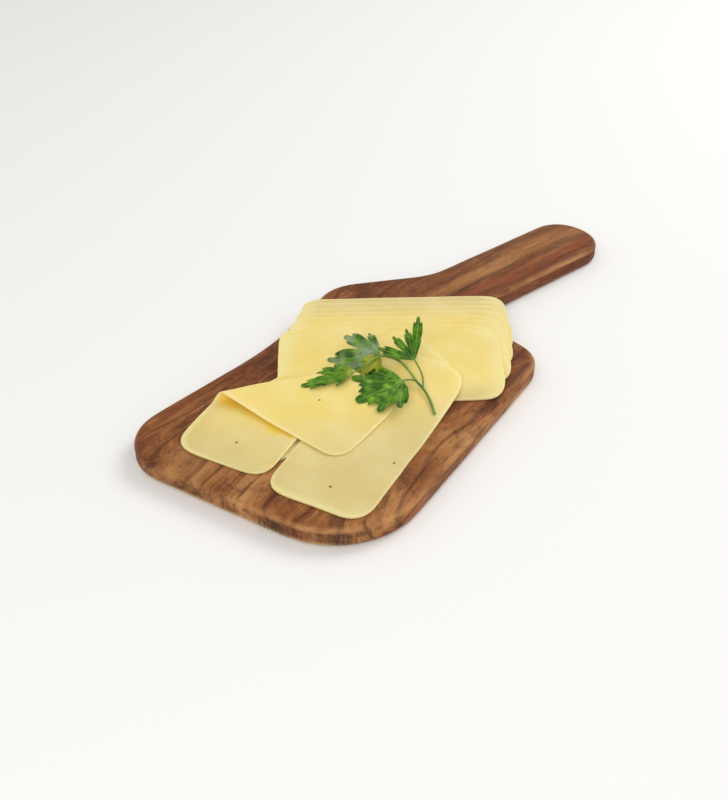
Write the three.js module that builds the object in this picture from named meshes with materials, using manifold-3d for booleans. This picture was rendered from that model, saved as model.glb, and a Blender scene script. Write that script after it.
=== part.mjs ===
import * as THREE from 'three';
import Module from 'manifold-3d';
import { mergeVertices } from 'three/addons/utils/BufferGeometryUtils.js';

const wasm = await Module();
wasm.setup();

// Sliced cheese served on a wooden paddle board, with a sprig of parsley.
// All lengths in mm, angles in degrees. Plan positions are measured from the middle of the board's body,
// +X to its right and +Y along the body towards the handle.

// Paddle board
const BODY_LENGTH = 292;
const BODY_WIDTH = 211;
const BOARD_THICKNESS = 16.5;
const BOARD_EDGE = 4;
const NEAR_SKEW = 8.5;
const NEAR_FLARE = 7.5;
const FAR_TAPER = 3;
const FAR_DROP = 22;
const SHOULDER_DROP = 24;
const SHOULDER_INSET = 6;
const WAIST_INSET = 18;
const WAIST_Y = 20;
const NEAR_LEFT_RADIUS = 39;
const NEAR_RIGHT_RADIUS = 66;
const FAR_RADIUS = 0.13 * BODY_WIDTH;
const SHOULDER_RADIUS = 40;
const WAIST_RADIUS = 300;
const HANDLE_WIDTH = 0.303 * BODY_WIDTH;
const HANDLE_LENGTH = 200;
const HANDLE_LEAN = 16.7;
const HANDLE_ROOT_X = -0.071 * BODY_WIDTH;
const NECK_RISE = 41;
const NECK_RADIUS = 60;
const NECK_FILLET = 0.19 * BODY_WIDTH;
const HANDLE_END_RADIUS = 0.45 * HANDLE_WIDTH;

// One slice of cheese
const SLICE_LENGTH = 171;
const SLICE_WIDTH = 76;
const SLICE_THICKNESS = 1.5;
const CORNER_RADIUS = 15;

// Air left between pieces that lie on one another
const GAP = 0.15;

// Fan of slices across the far half of the body, listed from the lowest up
const FAN_STEP = 10;
const FAN_HEADING = 35;
const FAN_TOP_CENTRE = [12.1, 36];
const FAN_SHIFT = [18, 16.6, 13.9, 13.5, 9, 8.9, 1.5, 1.7];
const FAN_TURN = [0.3, -0.3, 0.2, 0, -0.4, 0.3, -0.2, 0];

// Two slices laid lengthwise with their far ends on the fan
const UNDER_CENTRE = [1.8, -13.5];
const UNDER_HEADING = 64;
const FRONT_CENTRE = [41.8, -34];
const FRONT_HEADING = 95;

// The slice folded over itself on the left
const FOLDED_CENTRE = [-38.2, -33.6];
const FOLDED_HEADING = 95.5;
const FOLD_ANGLE = -49.5;
const FOLD_OFFSET = 2.3;
const LOOP_RADIUS_NEAR = 4;
const LOOP_RADIUS_FAR = 2.6;
const LOOP_LIFT = 3.4;
const LIFT_REACH = 52;
const FOLD_REACH = 30;

// How far a slice keeps its stiffness over a step: rounds of evening out its heights
const SAG_ROUNDS = 14;

// Parsley
const STEM_RADIUS = 1;
const LEAF_THICKNESS = 0.6;
const SPRIG_MIDDLE = [28, 22];

const BOARD_TOP = BOARD_THICKNESS;
const TAU = 2 * Math.PI;

const WOOD = new THREE.MeshStandardMaterial({ color: 0x8c5532, roughness: 0.55, metalness: 0 });
const CHEESE = new THREE.MeshStandardMaterial({ color: 0xf2dd8e, roughness: 0.45, metalness: 0 });
const LEAF = new THREE.MeshStandardMaterial({ color: 0x3c6e1e, roughness: 0.5, metalness: 0 });
const STALK = new THREE.MeshStandardMaterial({ color: 0x7ba03c, roughness: 0.45, metalness: 0 });

const rad = THREE.MathUtils.degToRad;
const lerp = THREE.MathUtils.lerp;
const clamp = THREE.MathUtils.clamp;

function unit(degrees) {
  return [Math.cos(rad(degrees)), Math.sin(rad(degrees))];
}

// ---------------------------------------------------------------- board

// Outline with every corner [x, y, radius] rounded by an arc tangent to both of its sides.
function roundedOutline(corners) {
  const shape = new THREE.Shape();
  corners.forEach(([x, y, radius], i) => {
    const here = new THREE.Vector2(x, y);
    const before = new THREE.Vector2(...corners.at(i - 1)).sub(here).normalize();
    const after = new THREE.Vector2(...corners[(i + 1) % corners.length]).sub(here).normalize();
    const half = Math.acos(clamp(before.dot(after), -1, 1)) / 2;
    const setback = radius / Math.tan(half);
    const centre = before.clone().add(after).setLength(radius / Math.sin(half)).add(here);
    const start = here.clone().addScaledVector(before, setback).sub(centre);
    const end = here.clone().addScaledVector(after, setback).sub(centre);
    const clockwise = start.cross(end) < 0;
    shape.absarc(centre.x, centre.y, radius, start.angle(), end.angle(), clockwise);
  });
  return shape;
}

function boardOutline() {
  const [leanX, leanY] = [Math.sin(rad(HANDLE_LEAN)), Math.cos(rad(HANDLE_LEAN))];
  // A point beside the handle's centre line: `along` from its root, `across` to its right.
  const onHandle = (along, across, radius) => [
    HANDLE_ROOT_X + along * leanX + across * leanY,
    BODY_LENGTH / 2 + along * leanY - across * leanX,
    radius,
  ];
  const half = HANDLE_WIDTH / 2;
  const rightRoot = half * leanX / leanY;
  return roundedOutline([
    [-BODY_WIDTH / 2 - NEAR_FLARE, -BODY_LENGTH / 2, NEAR_LEFT_RADIUS],
    [BODY_WIDTH / 2, -BODY_LENGTH / 2 + NEAR_SKEW, NEAR_RIGHT_RADIUS],
    [BODY_WIDTH / 2 - FAR_TAPER, BODY_LENGTH / 2 - FAR_DROP, FAR_RADIUS],
    onHandle(rightRoot, half, NECK_FILLET),
    onHandle(HANDLE_LENGTH, half, HANDLE_END_RADIUS),
    onHandle(HANDLE_LENGTH, -half, HANDLE_END_RADIUS),
    onHandle(NECK_RISE - rightRoot, -half, NECK_RADIUS),
    [-BODY_WIDTH / 2 + SHOULDER_INSET, BODY_LENGTH / 2 - SHOULDER_DROP, SHOULDER_RADIUS],
    [-BODY_WIDTH / 2 + WAIST_INSET, WAIST_Y, WAIST_RADIUS],
  ]);
}

function board() {
  const geometry = new THREE.ExtrudeGeometry(boardOutline(), {
    depth: BOARD_THICKNESS - 2 * BOARD_EDGE,
    bevelEnabled: true,
    bevelThickness: BOARD_EDGE,
    bevelSize: BOARD_EDGE,
    bevelOffset: -BOARD_EDGE,
    bevelSegments: 2,
    curveSegments: 7,
  });
  const mesh = new THREE.Mesh(geometry, WOOD);
  mesh.name = 'paddle_board';
  mesh.position.z = BOARD_EDGE;
  return mesh;
}

// ---------------------------------------------------------------- slices as sheets of rows

// Distance from a point of a slice to its rounded outline, negative inside.
function outlineDistance(x, y) {
  const dx = Math.abs(x) - (SLICE_LENGTH / 2 - CORNER_RADIUS);
  const dy = Math.abs(y) - (SLICE_WIDTH / 2 - CORNER_RADIUS);
  return Math.hypot(Math.max(dx, 0), Math.max(dy, 0)) + Math.min(Math.max(dx, dy), 0) - CORNER_RADIUS;
}

// The outermost point of the outline in the direction (nx, ny).
function outermost(nx, ny) {
  const side = (n) => (Math.abs(n) < 1e-6 ? 0 : Math.sign(n));
  return [
    side(nx) * (SLICE_LENGTH / 2 - CORNER_RADIUS) + CORNER_RADIUS * nx,
    side(ny) * (SLICE_WIDTH / 2 - CORNER_RADIUS) + CORNER_RADIUS * ny,
  ];
}

// Where the row at distance `offset` from the middle crosses the outline, as distances along the row.
function rowEnds(angle, offset) {
  const [tx, ty] = unit(angle);
  const side = Math.sign(offset) || 1;
  const [ex, ey] = outermost(-ty * side, tx * side);
  const reach = (-ty * ex + tx * ey) * side;
  const share = Math.abs(offset) / reach;
  const middle = (ex * tx + ey * ty) * share;
  return [-1, 1].map((way) => {
    let inside = 0;
    let outside = SLICE_LENGTH + SLICE_WIDTH;
    for (let i = 0; i < 40; i++) {
      const s = middle + way * (inside + outside) / 2;
      if (outlineDistance(s * tx - offset * ty, s * ty + offset * tx) < 0) inside = (inside + outside) / 2;
      else outside = (inside + outside) / 2;
    }
    return middle + way * inside;
  });
}

// A slice seen in plan as rows of points. Rows run at `angle` to its length, at the given offsets.
function sheet(centre, heading, angle, offsets, columns) {
  return {
    centre,
    direction: heading + angle,
    offsets,
    columns,
    ends: offsets.map((offset) => rowEnds(angle, offset)),
    z: offsets.map(() => new Array(columns).fill(BOARD_TOP + GAP)),
  };
}

function planPoint(sh, along, offset) {
  const [tx, ty] = unit(sh.direction);
  return [sh.centre[0] + along * tx - offset * ty, sh.centre[1] + along * ty + offset * tx];
}

function alongRow(sh, row, column) {
  return lerp(...sh.ends[row], column / (sh.columns - 1));
}

// Offsets of rows parallel to the length: close together round the corners, even in between.
function lengthwiseRows(cornerSteps, middleSteps) {
  const straight = SLICE_WIDTH / 2 - CORNER_RADIUS;
  const rows = [];
  for (let i = 0; i < cornerSteps; i++) {
    rows.push(-straight - CORNER_RADIUS * Math.min(Math.cos(rad(90 * i / cornerSteps)), 0.998));
  }
  for (let i = 0; i <= middleSteps; i++) rows.push(lerp(-straight, straight, i / middleSteps));
  for (let i = cornerSteps - 1; i >= 0; i--) rows.push(-rows[i]);
  return rows;
}

// Height of a sheet's stored surface at a plan position, or -Infinity beside it.
function heightOn(sh, x, y, margin) {
  const [tx, ty] = unit(sh.direction);
  const [dx, dy] = [x - sh.centre[0], y - sh.centre[1]];
  const along = dx * tx + dy * ty;
  const last = sh.offsets.length - 1;
  let offset = dy * tx - dx * ty;
  if (offset < sh.offsets[0] - margin || offset > sh.offsets[last] + margin) return -Infinity;
  offset = clamp(offset, sh.offsets[0], sh.offsets[last]);
  let row = 0;
  while (row < last - 1 && sh.offsets[row + 1] < offset) row++;
  const t = (offset - sh.offsets[row]) / (sh.offsets[row + 1] - sh.offsets[row]);
  const left = lerp(sh.ends[row][0], sh.ends[row + 1][0], t);
  const right = lerp(sh.ends[row][1], sh.ends[row + 1][1], t);
  if (along < left - margin || along > right + margin) return -Infinity;
  const place = clamp((along - left) / (right - left), 0, 1) * (sh.columns - 1);
  const column = Math.min(Math.floor(place), sh.columns - 2);
  const f = place - column;
  const near = lerp(sh.z[row][column], sh.z[row][column + 1], f);
  const far = lerp(sh.z[row + 1][column], sh.z[row + 1][column + 1], f);
  return lerp(near, far, t);
}

// The upper face of a settled sheet.
function topOf(sh) {
  return { ...sh, z: sh.z.map((row) => row.map((z) => z + SLICE_THICKNESS)) };
}

function highest(surfaces, x, y, margin) {
  return surfaces.reduce((z, surface) => Math.max(z, heightOn(surface, x, y, margin)), BOARD_TOP);
}

// Points spread over the cells of a sheet, each with the lowest height the sheet may have there.
function floorSamples(sh, surfaces, place) {
  const samples = [];
  for (let row = 0; row < sh.offsets.length - 1; row++) {
    for (let column = 0; column < sh.columns - 1; column++) {
      for (const t of [0, 0.25, 0.5, 0.75, 1]) {
        for (const f of [0, 0.25, 0.5, 0.75, 1]) {
          const offset = lerp(sh.offsets[row], sh.offsets[row + 1], t);
          const left = lerp(alongRow(sh, row, column), alongRow(sh, row + 1, column), t);
          const right = lerp(alongRow(sh, row, column + 1), alongRow(sh, row + 1, column + 1), t);
          const floor = highest(surfaces, ...place(lerp(left, right, f), offset), 1) + GAP;
          samples.push({ row, column, weights: [(1 - t) * (1 - f), (1 - t) * f, t * (1 - f), t * f], floor });
        }
      }
    }
  }
  return samples;
}

// Raises the corners of any cell that dips below its floor, just enough to clear it.
function liftClear(z, samples) {
  for (const { row, column, weights, floor } of samples) {
    const corners = [[row, column], [row, column + 1], [row + 1, column], [row + 1, column + 1]];
    const height = corners.reduce((sum, [r, c], i) => sum + weights[i] * z[r][c], 0);
    if (height >= floor) continue;
    const step = 1.2 * (floor - height);
    corners.forEach(([r, c], i) => {
      if (weights[i] > 0 && z[r][c] < floor) z[r][c] = Math.min(z[r][c] + step, floor);
    });
  }
}

// Each height replaced by the mean of its neighbours'. Held heights stay.
function evenedOut(z, held) {
  return z.map((line, r) => line.map((height, c) => {
    if (held(r, c)) return height;
    const pairs = [];
    if (z[r - 1] && z[r + 1]) pairs.push(z[r - 1][c] + z[r + 1][c]);
    if (c > 0 && c < line.length - 1) pairs.push(line[c - 1] + line[c + 1]);
    if (!pairs.length) return height;
    return lerp(height, pairs.reduce((a, b) => a + b) / (2 * pairs.length), 0.7);
  }));
}

// Lays a sheet over the surfaces below it: it follows them, spans small hollows and never cuts in.
function settle(sh, surfaces, rounds = SAG_ROUNDS, held = () => false, place = (s, d) => planPoint(sh, s, d)) {
  const samples = floorSamples(sh, surfaces, place);
  for (let i = 0; i < 4; i++) liftClear(sh.z, samples);
  for (let round = 0; round < rounds; round++) {
    sh.z = evenedOut(sh.z, held);
    liftClear(sh.z, samples);
  }
  for (let i = 0; i < 12; i++) liftClear(sh.z, samples);
}

// ---------------------------------------------------------------- slices as solids

// Splits a four-sided face so that it stays on its own side: low where it faces up, high where it faces down.
function splitFace(points, a, b, c, d) {
  const z = (i) => points[i][2];
  const [p, q, r] = [a, b, c].map((i) => points[i]);
  const facing = (q[0] - p[0]) * (r[1] - p[1]) - (q[1] - p[1]) * (r[0] - p[0]);
  const viaAC = facing > 0 ? z(a) + z(c) <= z(b) + z(d) : z(a) + z(c) >= z(b) + z(d);
  return viaAC ? [a, b, c, a, c, d] : [a, b, d, b, c, d];
}

// Closes two matching grids of points into one solid.
function slab(upper, lower) {
  const rows = upper.length;
  const columns = upper[0].length;
  const points = [...upper.flat(), ...lower.flat()];
  const top = (r, c) => r * columns + c;
  const bottom = (r, c) => rows * columns + top(r, c);
  const index = [];
  for (let r = 0; r < rows - 1; r++) {
    for (let c = 0; c < columns - 1; c++) {
      index.push(...splitFace(points, top(r, c), top(r, c + 1), top(r + 1, c + 1), top(r + 1, c)));
      index.push(...splitFace(points, bottom(r, c), bottom(r + 1, c), bottom(r + 1, c + 1), bottom(r, c + 1)));
    }
  }
  const rim = [];
  for (let c = 0; c < columns - 1; c++) rim.push([0, c]);
  for (let r = 0; r < rows - 1; r++) rim.push([r, columns - 1]);
  for (let c = columns - 1; c > 0; c--) rim.push([rows - 1, c]);
  for (let r = rows - 1; r > 0; r--) rim.push([r, 0]);
  rim.forEach((from, i) => {
    const to = rim[(i + 1) % rim.length];
    index.push(bottom(...from), bottom(...to), top(...to), bottom(...from), top(...to), top(...from));
  });
  const geometry = new THREE.BufferGeometry();
  geometry.setAttribute('position', new THREE.Float32BufferAttribute(points.flat(), 3));
  geometry.setIndex(index);
  geometry.computeVertexNormals();
  return geometry;
}

function named(name, geometry, material) {
  const mesh = new THREE.Mesh(geometry, material);
  mesh.name = name;
  return mesh;
}

function flatSlice(name, sh) {
  const grid = (rise) => sh.offsets.map((offset, r) => sh.z[r].map((z, c) => [
    ...planPoint(sh, alongRow(sh, r, c), offset),
    z + rise,
  ]));
  return named(name, slab(grid(SLICE_THICKNESS), grid(0)), CHEESE);
}

// ---------------------------------------------------------------- the folded slice

// Row offsets from the near-right corner to the far-left one, closest where the slice turns over.
function foldRows(angle) {
  const [tx, ty] = unit(angle);
  const [ex, ey] = outermost(-ty, tx);
  const reach = 0.997 * (-ty * ex + tx * ey);
  const turn = 1.6 * LOOP_RADIUS_NEAR;
  const rows = [];
  const spread = (from, to, steps) => {
    for (let i = 0; i < steps; i++) rows.push(lerp(from, to, i / steps));
  };
  const fold = FOLD_OFFSET;
  spread(-reach, -reach + 0.3 * CORNER_RADIUS, 2);
  spread(-reach + 0.3 * CORNER_RADIUS, -reach + 1.2 * CORNER_RADIUS, 2);
  spread(-reach + 1.2 * CORNER_RADIUS, fold - turn, 8);
  spread(fold - turn, fold + turn, 10);
  spread(fold + turn, reach - 1.2 * CORNER_RADIUS, 8);
  spread(reach - 1.2 * CORNER_RADIUS, reach - 0.3 * CORNER_RADIUS, 2);
  spread(reach - 0.3 * CORNER_RADIUS, reach, 2);
  rows.push(reach);
  return rows;
}

// How far a place lies from the near end of the fold (0) to its far end (1).
function foldShare(sh, along) {
  const middle = sh.offsets.findIndex((offset) => offset >= FOLD_OFFSET);
  const [near, far] = sh.ends[middle];
  return clamp((along - near) / (far - near), 0, 1);
}

// Radius of the turned-over loop, wide at the near end of the fold and tight at the far end.
function loopRadius(sh, along) {
  return lerp(LOOP_RADIUS_NEAR, LOOP_RADIUS_FAR, foldShare(sh, along));
}

// How far the lower part has already risen towards the fold, most at the near end.
function earlyRise(sh, along, offset) {
  const t = clamp((offset - FOLD_OFFSET + LIFT_REACH) / LIFT_REACH, 0, 1);
  return LOOP_LIFT * (1 - foldShare(sh, along)) * Math.sin(Math.PI / 2 * t) ** 1.5;
}

function part(sh, from, to) {
  return { ...sh, offsets: sh.offsets.slice(from, to), ends: sh.ends.slice(from, to), z: sh.z.slice(from, to) };
}

// The slice's middle surface after folding, as rows of points.
function foldSlice(sh, surfaces) {
  const fold = FOLD_OFFSET;
  const quarter = (along) => Math.PI / 2 * loopRadius(sh, along);
  const flatRows = sh.offsets.filter((offset) => offset < fold + 1).length;
  const lower = part(sh, 0, flatRows);
  settle(lower, surfaces);
  lower.z = lower.z.map((line, r) => {
    return line.map((z, c) => z + earlyRise(sh, alongRow(lower, r, c), lower.offsets[r]));
  });
  const lowerTop = topOf(lower);

  // Height of the sheet's middle where the loop starts to rise.
  const base = (along) => {
    const [x, y] = planPoint(sh, along, fold - quarter(along));
    return heightOn(lower, x, y, 40) + SLICE_THICKNESS / 2;
  };

  const firstOver = sh.offsets.findIndex((offset) => offset > fold + Math.PI / 2 * LOOP_RADIUS_FAR);
  const upper = part(sh, firstOver, sh.offsets.length);
  const mirrored = (along, offset) => planPoint(sh, along, 2 * fold - offset);
  const under = [...surfaces, lowerTop];
  upper.z = upper.offsets.map((offset, r) => Array.from({ length: sh.columns }, (_, c) => {
    const along = alongRow(upper, r, c);
    const start = base(along) + 2 * loopRadius(sh, along) - SLICE_THICKNESS / 2;
    const rest = highest(under, ...mirrored(along, offset), 1) + GAP;
    const t = clamp((offset - fold - quarter(along)) / FOLD_REACH, 0, 1);
    const fall = (1 - t) ** 2 * (1 + 2 * t);
    return rest + Math.max(start - rest, 0) * fall;
  }));
  const turning = (r, c) => upper.offsets[r] - fold < quarter(alongRow(upper, r, c)) + 2;
  settle(upper, under, 5, turning, mirrored);

  return sh.offsets.map((offset, r) => Array.from({ length: sh.columns }, (_, c) => {
    const along = alongRow(sh, r, c);
    const radius = loopRadius(sh, along);
    const turned = (offset - fold + quarter(along)) / radius;
    if (turned <= 0) return [...planPoint(sh, along, offset), lower.z[r][c] + SLICE_THICKNESS / 2];
    if (turned >= Math.PI) return [...mirrored(along, offset), upper.z[r - firstOver][c] + SLICE_THICKNESS / 2];
    const across = fold - quarter(along) + radius * Math.sin(turned);
    return [...planPoint(sh, along, across), base(along) + radius * (1 - Math.cos(turned))];
  }));
}

// Gives a surface its thickness, half to each side.
function thicken(middle, thickness) {
  const rows = middle.length;
  const columns = middle[0].length;
  const at = (r, c) => new THREE.Vector3(...middle[clamp(r, 0, rows - 1)][clamp(c, 0, columns - 1)]);
  const shifted = (way) => middle.map((line, r) => line.map((point, c) => {
    const alongRowStep = at(r, c + 1).sub(at(r, c - 1));
    const acrossRows = at(r + 1, c).sub(at(r - 1, c));
    const normal = alongRowStep.cross(acrossRows).setLength(way * thickness / 2);
    return at(r, c).add(normal).toArray();
  }));
  return [shifted(1), shifted(-1)];
}

// ---------------------------------------------------------------- parsley

// Joins closed geometries that run into each other into one closed body.
function join(geometries) {
  const solids = geometries.map((geometry) => {
    const bare = geometry.clone();
    bare.deleteAttribute('normal');
    bare.deleteAttribute('uv');
    const merged = mergeVertices(bare, 1e-4);
    return new wasm.Manifold(new wasm.Mesh({
      numProp: 3,
      vertProperties: new Float32Array(merged.attributes.position.array),
      triVerts: new Uint32Array(merged.index.array),
    }));
  });
  const mesh = wasm.Manifold.union(solids).getMesh();
  const result = new THREE.BufferGeometry();
  result.setAttribute('position', new THREE.Float32BufferAttribute(mesh.vertProperties, 3));
  result.setIndex([...mesh.triVerts]);
  result.computeVertexNormals();
  return result;
}

function stalk(points, radius, steps) {
  const ring = new THREE.Shape().absarc(0, 0, radius, 0, TAU);
  return new THREE.ExtrudeGeometry(ring, {
    steps,
    bevelEnabled: false,
    curveSegments: 6,
    extrudePath: new THREE.CatmullRomCurve3(points),
  });
}

// Plan position beside the middle of the sprig, at a height over whatever lies there.
function over(pieces, x, y, rise) {
  const [px, py] = [SPRIG_MIDDLE[0] + x, SPRIG_MIDDLE[1] + y];
  return new THREE.Vector3(px, py, restingHeight(pieces, px, py) + rise);
}

// Height of the highest piece under a plan position.
function restingHeight(pieces, x, y) {
  const down = new THREE.Raycaster(new THREE.Vector3(x, y, 10 * BOARD_TOP), new THREE.Vector3(0, 0, -1));
  const [first] = down.intersectObjects(pieces);
  return first ? first.point.z : BOARD_TOP;
}

// How far a solid must rise to clear the pieces by GAP everywhere.
function sunkDepth(geometry, pieces) {
  const at = geometry.attributes.position;
  const corner = (i) => new THREE.Vector3().fromBufferAttribute(at, geometry.index.getX(i));
  let depth = -Infinity;
  for (let i = 0; i < geometry.index.count; i += 3) {
    const [a, b, c] = [corner(i), corner(i + 1), corner(i + 2)];
    const middle = a.clone().add(b).add(c).divideScalar(3);
    for (const p of [a, a.clone().lerp(b, 0.5), middle]) {
      depth = Math.max(depth, restingHeight(pieces, p.x, p.y) + GAP - p.z);
    }
  }
  return depth;
}

function stalks(pieces) {
  const lying = STEM_RADIUS + GAP;
  const cut = over(pieces, 43.6, -17.4, lying);
  const bend = over(pieces, 34.2, -8.5, lying + 0.6);
  const fork = over(pieces, 25.1, -2.9, lying + 1.6);
  const mainStem = [
    cut,
    bend,
    fork,
    over(pieces, 17.2, -0.4, lying + 2.6),
    over(pieces, 8.3, 4.4, lying + 3.6),
    over(pieces, -1.9, 8.5, lying + 4.2),
    over(pieces, -9.6, 8.5, lying + 4.4),
    over(pieces, -17.9, 5.7, lying + 4.4),
  ];
  const rightBranch = [
    fork,
    over(pieces, 18.7, 6.3, lying + 3),
    over(pieces, 10.3, 13, lying + 4.2),
    over(pieces, 6.9, 15.2, lying + 4.6),
  ];
  const nearBranch = [
    over(pieces, 17.2, -0.4, lying + 2.6),
    over(pieces, 12.1, -3, lying + 2.8),
    over(pieces, 9.2, -6.6, lying + 3),
  ];
  const parts = [
    stalk(mainStem, STEM_RADIUS, 16),
    stalk(rightBranch, 0.7 * STEM_RADIUS, 7),
    stalk(nearBranch, 0.65 * STEM_RADIUS, 6),
  ];
  const sprig = join(parts);
  return named('parsley_stem', sprig.translate(0, 0, Math.max(0, sunkDepth(sprig, pieces))), STALK);
}

// Three lobes with rounded teeth, as a share of the leaf's reach in the direction `turn` from its tip.
function leafReach(turn, depth) {
  const lobes = 0.5 + 0.5 * Math.cos(3 * turn);
  const teeth = 0.5 + 0.5 * Math.cos(13 * turn);
  const stalkSide = 0.62 + 0.38 * Math.cos(turn / 2) ** 2;
  return (1 - depth + depth * lobes ** 0.7) * (0.84 + 0.16 * teeth) * stalkSide;
}

// A thin leaf cupped along its middle and lifted until it just clears everything below.
function leaf(name, pieces, { at, heading, length, width, pitch, cup, rise, depth = 0.45 }) {
  const around = 39;
  const rings = [0.4, 0.75, 1];
  const pose = new THREE.Matrix4().makeRotationFromEuler(
    new THREE.Euler(0, -rad(pitch), rad(heading), 'ZYX'),
  );
  const [cx, cy] = [SPRIG_MIDDLE[0] + at[0], SPRIG_MIDDLE[1] + at[1]];
  const face = (lift) => [[0, 0], ...rings.flatMap((ring) => Array.from({ length: around }, (_, i) => {
    const turn = i / around * TAU;
    const reach = ring * leafReach(turn, ring === 1 ? depth : depth * ring);
    return [reach * Math.cos(turn) * length / 2, reach * Math.sin(turn) * width / 2];
  }))].map(([x, y]) => {
    const fold = cup * (Math.abs(y) / (width / 2)) ** 1.4;
    const droop = -0.12 * length * (x / (length / 2)) ** 2;
    const wave = 0.035 * length * Math.sin(9 * Math.atan2(y, x)) * Math.hypot(x, y) / (length / 2);
    return new THREE.Vector3(x, y, fold + droop + wave + lift).applyMatrix4(pose);
  });
  const upper = face(LEAF_THICKNESS / 2);
  const lower = face(-LEAF_THICKNESS / 2);
  const points = [...upper, ...lower].map((p) => [cx + p.x, cy + p.y, p.z]);
  const count = upper.length;
  const index = [];
  const ringPoint = (ring, i) => 1 + ring * around + (i % around);
  const triangle = (a, b, c) => {
    index.push(a, b, c, a + count, c + count, b + count);
  };
  for (let i = 0; i < around; i++) {
    triangle(0, ringPoint(0, i), ringPoint(0, i + 1));
    for (let ring = 0; ring < rings.length - 1; ring++) {
      triangle(ringPoint(ring, i), ringPoint(ring + 1, i), ringPoint(ring + 1, i + 1));
      triangle(ringPoint(ring, i), ringPoint(ring + 1, i + 1), ringPoint(ring, i + 1));
    }
    const [a, b] = [ringPoint(rings.length - 1, i), ringPoint(rings.length - 1, i + 1)];
    index.push(a, a + count, b + count, a, b + count, b);
  }
  const geometry = new THREE.BufferGeometry();
  geometry.setAttribute('position', new THREE.Float32BufferAttribute(points.flat(), 3));
  geometry.setIndex(index);
  geometry.computeVertexNormals();
  return named(name, geometry.translate(0, 0, sunkDepth(geometry, pieces) + rise), LEAF);
}

// ---------------------------------------------------------------- assembly

const serving = new THREE.Group();
serving.add(board());

const laid = [];
const fanAcross = unit(FAN_HEADING + 90);
const fanAlong = unit(FAN_HEADING);
const fan = new THREE.Group();
FAN_SHIFT.forEach((shift, i) => {
  const back = (FAN_SHIFT.length - 1 - i) * FAN_STEP;
  const centre = [0, 1].map((k) => FAN_TOP_CENTRE[k] + back * fanAcross[k] + shift * fanAlong[k]);
  const slice = sheet(centre, FAN_HEADING + FAN_TURN[i], 0, lengthwiseRows(3, 5), 9);
  settle(slice, laid, 2);
  laid.push(topOf(slice));
  fan.add(flatSlice(`fan_slice_${i + 1}`, slice));
});
serving.add(fan);

function layFlat(name, centre, heading) {
  const slice = sheet(centre, heading, 0, lengthwiseRows(3, 6), 19);
  settle(slice, laid);
  laid.push(topOf(slice));
  serving.add(flatSlice(name, slice));
}
layFlat('under_slice', UNDER_CENTRE, UNDER_HEADING);
layFlat('front_slice', FRONT_CENTRE, FRONT_HEADING);

const foldedSheet = sheet(FOLDED_CENTRE, FOLDED_HEADING, FOLD_ANGLE, foldRows(FOLD_ANGLE), 13);
const folded = foldSlice(foldedSheet, laid);
serving.add(named('folded_slice', slab(...thicken(folded, SLICE_THICKNESS)), CHEESE));

const cheese = [...fan.children, ...serving.children.slice(2)];
const parsley = new THREE.Group();
parsley.add(stalks(cheese));
const leaves = [
  { at: [-36, 0], heading: 190, length: 52, width: 44, pitch: 12, cup: 5, rise: 4 },
  { at: [-33.5, -34.5], heading: 215, length: 44, width: 28, pitch: 6, cup: 4, rise: 1.5 },
  { at: [-13, 28], heading: 80, length: 50, width: 40, pitch: 48, cup: 5, rise: 3 },
  { at: [4.5, -29.5], heading: 235, length: 48, width: 42, pitch: -4, cup: 5, rise: 0.5 },
  { at: [-20, -14], heading: 200, length: 26, width: 20, pitch: 0, cup: 2, rise: 1 },
];
leaves.forEach((spec, i) => parsley.add(leaf(`parsley_leaf_${i + 1}`, cheese, spec)));
serving.add(parsley);

// The part's origin is under the middle of its plan, on the flat underside of the board.
const extent = new THREE.Box3().setFromObject(serving);
serving.position.set(-(extent.min.x + extent.max.x) / 2, -(extent.min.y + extent.max.y) / 2, -extent.min.z);

const root = new THREE.Group();
root.name = 'cheese_serving';
root.add(serving);

export default root;
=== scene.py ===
import math

import bmesh
import bpy
import numpy as np
from mathutils import Matrix, Vector, noise
from mathutils.bvhtree import BVHTree
from mathutils.geometry import tessellate_polygon


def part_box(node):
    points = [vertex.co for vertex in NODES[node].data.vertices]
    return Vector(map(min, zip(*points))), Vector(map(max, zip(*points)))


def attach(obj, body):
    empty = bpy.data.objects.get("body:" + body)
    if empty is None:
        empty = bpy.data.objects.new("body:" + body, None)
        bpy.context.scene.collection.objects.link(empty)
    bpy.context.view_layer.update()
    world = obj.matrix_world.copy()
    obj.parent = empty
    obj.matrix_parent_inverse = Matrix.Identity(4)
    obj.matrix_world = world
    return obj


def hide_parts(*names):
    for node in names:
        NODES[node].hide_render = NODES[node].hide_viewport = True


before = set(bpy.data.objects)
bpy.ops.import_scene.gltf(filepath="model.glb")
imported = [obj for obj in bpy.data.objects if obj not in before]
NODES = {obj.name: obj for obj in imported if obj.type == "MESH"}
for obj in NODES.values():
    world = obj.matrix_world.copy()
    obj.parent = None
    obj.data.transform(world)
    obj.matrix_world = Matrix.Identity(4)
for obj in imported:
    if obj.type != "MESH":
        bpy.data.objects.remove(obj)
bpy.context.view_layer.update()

MM = 0.001
SLICES = [f"fan_slice_{i}" for i in range(1, 9)] + ["under_slice", "front_slice", "folded_slice"]
LEAVES = [f"parsley_leaf_{i}" for i in range(1, 6)]

BOARD_LOW, BOARD_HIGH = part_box("paddle_board")
BOARD_TOP = BOARD_HIGH.z
# Where the grain turns from the body to the leaning handle, and the handle's middle line at that height.
NECK_Y = BOARD_LOW.y + 0.285
HANDLE_LEAN = math.radians(16.7)
HANDLE_MIDDLE = 0.5 * (BOARD_LOW.x + BOARD_HIGH.x) - 18 * MM


# ---------------------------------------------------------------- camera, light and floor

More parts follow.
